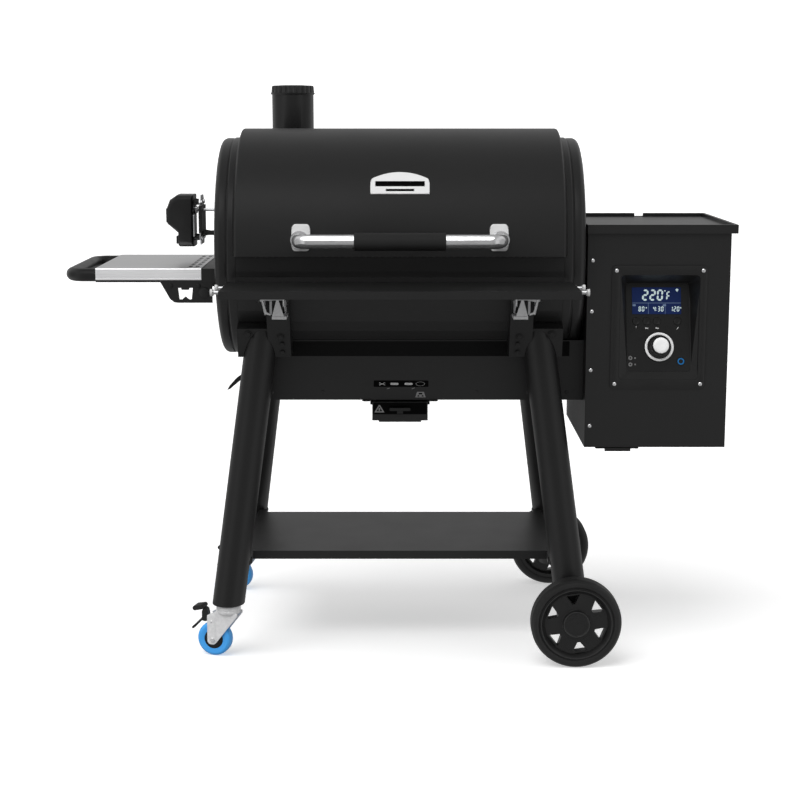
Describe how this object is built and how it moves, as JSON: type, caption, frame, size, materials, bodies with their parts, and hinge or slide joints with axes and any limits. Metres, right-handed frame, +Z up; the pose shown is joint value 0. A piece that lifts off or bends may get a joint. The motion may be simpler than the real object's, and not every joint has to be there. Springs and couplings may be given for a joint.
{
  "type": "pellet smoker grill",
  "caption": "Horizontal barrel pellet grill on splayed legs with wheels and casters, side hopper with controller, rotisserie motor, fold-down front shelf and side shelf.",
  "frame": {"origin": "centre of the footprint of the whole grill, at the floor", "axes": "+X along the barrel towards the hopper, -Y the front with the lid handle, +Z up"},
  "size_m": [1.5428, 0.826, 1.317],
  "materials": {
    "black_paint": "satin textured powder coat",
    "inner_black": "baked black enamel, dull",
    "stainless": "brushed",
    "bright_steel": "fine brushed and polished",
    "zinc": "zinc plated, satin",
    "bare_steel": "plain mill steel",
    "iron": "porcelain coated, semi gloss",
    "black_plastic": "fine texture",
    "grip_rubber": "matt",
    "black_gloss": "smooth",
    "wheel_plastic": "fine texture",
    "caster_tyre": "smooth, semi gloss",
    "screen": "smooth"
  },
  "bodies": {
    "chassis": {"barrel_body": "black_paint", "left_end_cap": "black_paint", "right_end_cap": "black_paint", "grease_tray": "bare_steel", "fire_pot": "bare_steel", "heat_diffuser": "inner_black", "chimney_pipe": "black_paint", "leg_front_left": "black_paint", "leg_front_right": "black_paint", "leg_rear_left": "black_paint", "leg_rear_right": "black_paint", "front_bracket_left": "black_paint", "front_bracket_right": "black_paint", "rear_bracket_left": "black_paint", "rear_bracket_right": "black_paint", "shelf_hinge_left": "zinc", "shelf_hinge_right": "zinc", "bottom_shelf": "black_paint", "lower_housing": "black_paint", "auger_tube": "bare_steel", "auger_motor": "bare_steel", "hopper_body": "black_paint", "pellet_bin": "bare_steel", "controller_bezel": "black_plastic", "control_panel": "black_gloss", "lcd_screen": "screen", "side_shelf_top": "stainless", "side_shelf_frame": "black_paint", "side_shelf_handle": "black_plastic", "rotisserie_motor": "black_plastic", "rotisserie_bracket": "zinc", "fan_housing": "black_plastic"},
    "lid": {"lid": "black_paint", "lid_handle": "bright_steel", "handle_grip": "grip_rubber"},
    "front_shelf": {"front_shelf": "black_paint"},
    "hopper_lid": {"hopper_lid": "black_paint"},
    "clean_out_gate": {"clean_out_gate": "zinc"},
    "grease_drawer": {"grease_drawer": "black_paint"},
    "control_knob": {"control_knob": "bright_steel"},
    "menu_button_1": {"menu_button_1": "black_gloss"},
    "menu_button_2": {"menu_button_2": "black_gloss"},
    "menu_button_3": {"menu_button_3": "black_gloss"},
    "menu_button_4": {"menu_button_4": "black_gloss"},
    "power_button": {"power_button": "black_gloss"},
    "spit_socket": {"spit_socket": "zinc"},
    "auger_screw": {"auger_screw": "bare_steel"},
    "fan_impeller": {"fan_impeller": "bare_steel"},
    "cooking_grid_left": {"cooking_grid_left": "iron"},
    "cooking_grid_right": {"cooking_grid_right": "iron"},
    "warming_rack": {"warming_rack": "stainless"},
    "chimney_cap": {"chimney_cap": "black_paint"},
    "wheel_front": {"wheel_front": "wheel_plastic"},
    "wheel_rear": {"wheel_rear": "wheel_plastic"},
    "caster_fork_front": {"caster_fork_front": "zinc"},
    "caster_fork_rear": {"caster_fork_rear": "zinc"},
    "caster_wheel_front": {"caster_wheel_front": "caster_tyre"},
    "caster_wheel_rear": {"caster_wheel_rear": "caster_tyre"},
    "caster_brake_front": {"caster_brake_front": "black_plastic"},
    "caster_brake_rear": {"caster_brake_rear": "black_plastic"}
  },
  "joints": [
    {"name": "lid_hinge", "type": "hinge", "parent": "chassis", "child": "lid", "pos_m": [0.004, 0.221, 1.17], "axis": [-1, 0, 0], "range_deg": [0, 78]},
    {"name": "front_shelf_fold", "type": "hinge", "parent": "chassis", "child": "front_shelf", "pos_m": [0.004, -0.284, 0.845], "axis": [1, 0, 0], "range_deg": [0, 90]},
    {"name": "hopper_lid_hinge", "type": "hinge", "parent": "chassis", "child": "hopper_lid", "pos_m": [0.6006, 0.2675, 0.974], "axis": [-1, 0, 0], "range_deg": [0, 95]},
    {"name": "clean_out_slide", "type": "slide", "parent": "chassis", "child": "clean_out_gate", "axis": [0, -1, 0], "range_m": [0, 0.08]},
    {"name": "grease_drawer_slide", "type": "slide", "parent": "chassis", "child": "grease_drawer", "axis": [0, -1, 0], "range_m": [0, 0.19]},
    {"name": "control_knob_turn", "type": "hinge", "parent": "chassis", "child": "control_knob", "pos_m": [0.603, -0.13589, 0.71596], "axis": [0, -0.9642, 0.2652], "continuous": true},
    {"name": "menu_button_1_press", "type": "slide", "parent": "chassis", "child": "menu_button_1", "axis": [0, 0.9642, -0.2652], "range_m": [0, 0.0015], "stiffness_N_per_m": 800},
    {"name": "menu_button_2_press", "type": "slide", "parent": "chassis", "child": "menu_button_2", "axis": [0, 0.9642, -0.2652], "range_m": [0, 0.0015], "stiffness_N_per_m": 800},
    {"name": "menu_button_3_press", "type": "slide", "parent": "chassis", "child": "menu_button_3", "axis": [0, 0.9642, -0.2652], "range_m": [0, 0.0015], "stiffness_N_per_m": 800},
    {"name": "menu_button_4_press", "type": "slide", "parent": "chassis", "child": "menu_button_4", "axis": [0, 0.9642, -0.2652], "range_m": [0, 0.0015], "stiffness_N_per_m": 800},
    {"name": "power_button_press", "type": "slide", "parent": "chassis", "child": "power_button", "axis": [0, 0.9642, -0.2652], "range_m": [0, 0.0015], "stiffness_N_per_m": 800},
    {"name": "spit_socket_turn", "type": "hinge", "parent": "chassis", "child": "spit_socket", "pos_m": [-0.496, 0.051, 1.021], "axis": [1, 0, 0], "continuous": true},
    {"name": "auger_turn", "type": "hinge", "parent": "chassis", "child": "auger_screw", "pos_m": [0.324, 0.051, 0.638], "axis": [1, 0, 0], "continuous": true},
    {"name": "fan_spin", "type": "hinge", "parent": "chassis", "child": "fan_impeller", "pos_m": [0.644, 0.021, 0.545], "axis": [0, 1, 0], "continuous": true},
    {"name": "cooking_grid_left_lift", "type": "slide", "parent": "chassis", "child": "cooking_grid_left", "axis": [0, 0, 1], "range_m": [0, 0.08]},
    {"name": "cooking_grid_right_lift", "type": "slide", "parent": "chassis", "child": "cooking_grid_right", "axis": [0, 0, 1], "range_m": [0, 0.08]},
    {"name": "warming_rack_lift", "type": "slide", "parent": "chassis", "child": "warming_rack", "axis": [0, 0, 1], "range_m": [0, 0.012]},
    {"name": "chimney_cap_rise", "type": "slide", "parent": "chassis", "child": "chimney_cap", "axis": [0, 0, 1], "range_m": [0, 0.03]},
    {"name": "wheel_front_roll", "type": "hinge", "parent": "chassis", "child": "wheel_front", "pos_m": [0.406, -0.2875, 0.1035], "axis": [0, 1, 0], "continuous": true},
    {"name": "wheel_rear_roll", "type": "hinge", "parent": "chassis", "child": "wheel_rear", "pos_m": [0.406, 0.3895, 0.1035], "axis": [0, 1, 0], "continuous": true},
    {"name": "caster_front_swivel", "type": "hinge", "parent": "chassis", "child": "caster_fork_front", "pos_m": [-0.39475, -0.21751, 0.115], "axis": [0, 0, 1], "continuous": true},
    {"name": "caster_front_roll", "type": "hinge", "parent": "caster_fork_front", "child": "caster_wheel_front", "pos_m": [-0.4276, -0.20871, 0.0405], "axis": [-0.2588, -0.9659, 0], "continuous": true},
    {"name": "caster_front_brake", "type": "hinge", "parent": "caster_fork_front", "child": "caster_brake_front", "pos_m": [-0.44498, -0.20405, 0.09], "axis": [-0.2588, -0.9659, 0], "range_deg": [0, 12]},
    {"name": "caster_rear_swivel", "type": "hinge", "parent": "chassis", "child": "caster_fork_rear", "pos_m": [-0.39475, 0.31951, 0.115], "axis": [0, 0, 1], "continuous": true},
    {"name": "caster_rear_roll", "type": "hinge", "parent": "caster_fork_rear", "child": "caster_wheel_rear", "pos_m": [-0.4276, 0.32831, 0.0405], "axis": [-0.2588, -0.9659, 0], "continuous": true},
    {"name": "caster_rear_brake", "type": "hinge", "parent": "caster_fork_rear", "child": "caster_brake_rear", "pos_m": [-0.44498, 0.33297, 0.09], "axis": [-0.2588, -0.9659, 0], "range_deg": [0, 12]}
  ]
}
